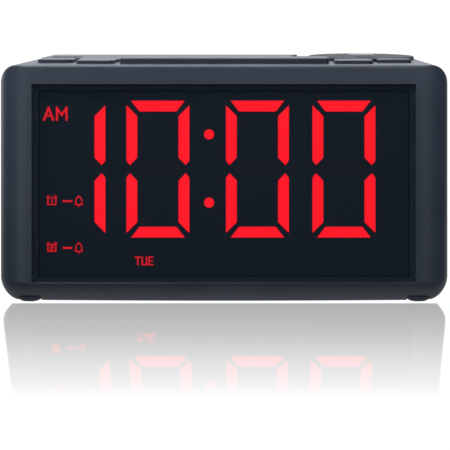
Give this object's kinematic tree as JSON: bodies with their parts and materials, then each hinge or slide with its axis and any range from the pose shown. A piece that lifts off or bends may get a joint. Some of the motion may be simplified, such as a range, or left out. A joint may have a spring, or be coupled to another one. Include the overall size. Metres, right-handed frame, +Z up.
{
  "type": "clock radio",
  "caption": "Compact bedside clock radio with a large red LED display behind a smoked lens, low top keys, a rotating dial with a push centre and a rear loudspeaker.",
  "frame": {"origin": "centre of the footprint, at the feet's lower faces", "axes": "+Z up, the face looks along -Y and leans back, +X to the viewer's right"},
  "size_m": [0.15, 0.076, 0.0799],
  "materials": {
    "casing": "satin soft-touch slate plastic",
    "lens": "smoked clear acrylic",
    "keys": "satin slate plastic",
    "dial": "satin slate plastic",
    "dial_cap": "gloss slate plastic",
    "lit_led": "lit red LED segments",
    "unlit_led": "unlit diffusing segments",
    "display_black": "matt black",
    "black_plastic": "moulded black",
    "plunger_plastic": "natural nylon",
    "rubber": "matt black",
    "board": "green solder mask on laminate",
    "steel": "plated",
    "ferrite": "sintered ferrite",
    "copper": "enamelled copper wire",
    "cone_black": "paper cone",
    "capacitor_sleeve": "sleeve",
    "cable_grey": "flat cable",
    "battery_sleeve": "printed sleeve without text"
  },
  "bodies": {
    "housing": {"front_bezel": "casing", "display_lens": "lens", "cabinet": "casing", "rear_cover": "casing", "foot_front_left": "rubber", "foot_front_right": "rubber", "foot_rear_left": "rubber", "foot_rear_right": "rubber", "tact_switches": "black_plastic", "key_pcb": "board", "key_pcb_screws": "steel", "dial_encoder": "black_plastic", "reflector_block": "display_black", "hour_tens_digit": "lit_led", "hour_ones_digit": "lit_led", "colon_dots": "lit_led", "minute_tens_digit": "lit_led", "minute_ones_digit": "lit_led", "am_indicator": "lit_led", "alarm_1_indicator": "lit_led", "alarm_2_indicator": "lit_led", "weekday_indicator": "lit_led", "unlit_segments": "unlit_led", "display_pcb": "board", "display_screws": "steel", "main_pcb": "board", "main_chips": "black_plastic", "capacitors": "capacitor_sleeve", "pcb_screws": "steel", "ribbon_cable": "cable_grey", "speaker_frame": "steel", "speaker_cone": "cone_black", "speaker_magnet": "ferrite", "speaker_screws": "steel", "dc_jack": "black_plastic", "ferrite_rod": "ferrite", "antenna_coil": "copper", "antenna_grommet": "rubber", "rear_cover_screws": "steel", "backup_batteries": "battery_sleeve", "battery_springs": "steel", "battery_plates": "steel"},
    "snooze": {"snooze_bar": "keys", "snooze_plunger": "plunger_plastic"},
    "alarm_1": {"alarm_1_key": "keys", "alarm_1_plunger": "plunger_plastic"},
    "alarm_2": {"alarm_2_key": "keys", "alarm_2_plunger": "plunger_plastic"},
    "set": {"set_key": "keys", "set_plunger": "plunger_plastic"},
    "radio": {"radio_key": "keys", "radio_plunger": "plunger_plastic"},
    "sleep": {"sleep_key": "keys", "sleep_plunger": "plunger_plastic"},
    "dial": {"tuning_dial": "dial"},
    "button": {"dial_button": "dial_cap", "button_plunger": "plunger_plastic"},
    "door": {"battery_door": "casing"}
  },
  "joints": [
    {"name": "snooze_press", "type": "slide", "parent": "housing", "child": "snooze", "axis": [0, 0, -1], "range_m": [0, 0.0008], "stiffness_N_per_m": 800, "springref_m": -0.0015},
    {"name": "alarm_1_press", "type": "slide", "parent": "housing", "child": "alarm_1", "axis": [0, 0, -1], "range_m": [0, 0.0008], "stiffness_N_per_m": 600, "springref_m": -0.0012},
    {"name": "alarm_2_press", "type": "slide", "parent": "housing", "child": "alarm_2", "axis": [0, 0, -1], "range_m": [0, 0.0008], "stiffness_N_per_m": 600, "springref_m": -0.0012},
    {"name": "set_press", "type": "slide", "parent": "housing", "child": "set", "axis": [0, 0, -1], "range_m": [0, 0.0008], "stiffness_N_per_m": 600, "springref_m": -0.0012},
    {"name": "radio_press", "type": "slide", "parent": "housing", "child": "radio", "axis": [0, 0, -1], "range_m": [0, 0.0008], "stiffness_N_per_m": 600, "springref_m": -0.0012},
    {"name": "sleep_press", "type": "slide", "parent": "housing", "child": "sleep", "axis": [0, 0, -1], "range_m": [0, 0.0008], "stiffness_N_per_m": 600, "springref_m": -0.0012},
    {"name": "dial_turn", "type": "hinge", "parent": "housing", "child": "dial", "pos_m": [0.04995, 0.01487, 0.0778], "axis": [0, 0, 1], "continuous": true},
    {"name": "button_press", "type": "slide", "parent": "housing", "child": "button", "axis": [0, 0, -1], "range_m": [0, 0.0006], "stiffness_N_per_m": 600, "springref_m": -0.0012},
    {"name": "door_pull", "type": "slide", "parent": "housing", "child": "door", "axis": [0, 1, 0], "range_m": [0, 0.012]}
  ]
}
